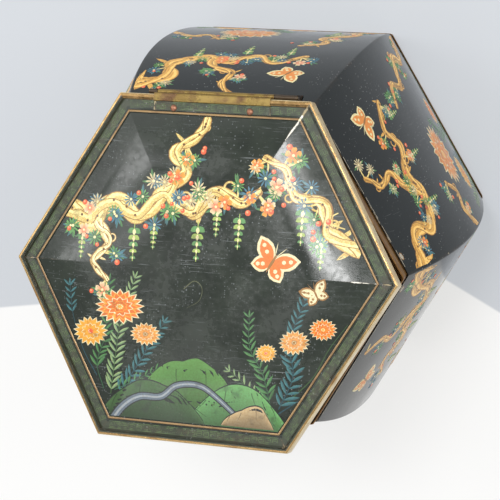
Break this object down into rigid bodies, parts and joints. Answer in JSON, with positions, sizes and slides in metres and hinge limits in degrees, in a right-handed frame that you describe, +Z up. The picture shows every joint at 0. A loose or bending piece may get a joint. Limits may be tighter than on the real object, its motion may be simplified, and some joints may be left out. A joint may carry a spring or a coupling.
{
  "type": "hexagonal hinged tin box",
  "caption": "Hexagonal biscuit tin with bulging lacquered sides, a neck collar and a hinged pressed lid standing ajar.",
  "frame": {"origin": "middle of the base, on the surface that the tin stands on", "axes": "+Z up through the middle of the tin, +Y towards the hinge, +X along the hinge and towards a ridge"},
  "size_m": [0.2178, 0.1888, 0.1988],
  "materials": {
    "black_print": "gloss black lacquered tinplate with printed decoration",
    "lid_print": "gloss black lacquered tinplate with printed decoration",
    "gold_rim": "worn gold lacquer on tinplate",
    "border_leaf": "green key-pattern print on tinplate",
    "amber_lacquer": "brown-gold lacquer on tinplate",
    "black_leaf": "worn black lacquer on steel",
    "pin_wire": "drawn wire",
    "rivet": "dull"
  },
  "bodies": {
    "box": {"wall_back": "black_print", "wall_back_left": "black_print", "wall_front_left": "black_print", "wall_front": "black_print", "wall_front_right": "black_print", "wall_back_right": "black_print", "neck_collar": "amber_lacquer", "base_plate": "amber_lacquer", "body_hinge_leaf": "black_leaf", "hinge_pin": "pin_wire"},
    "lid": {"lid_panel": "lid_print", "lid_rim": "gold_rim", "lid_hinge_leaf": "border_leaf", "lid_rivet_left": "rivet", "lid_rivet_right": "rivet"}
  },
  "joints": [
    {"name": "lid_hinge", "type": "hinge", "parent": "box", "child": "lid", "pos_m": [0, 0.08375, 0.1452], "axis": [-1, 0, 0], "range_deg": [-17, 169]}
  ]
}
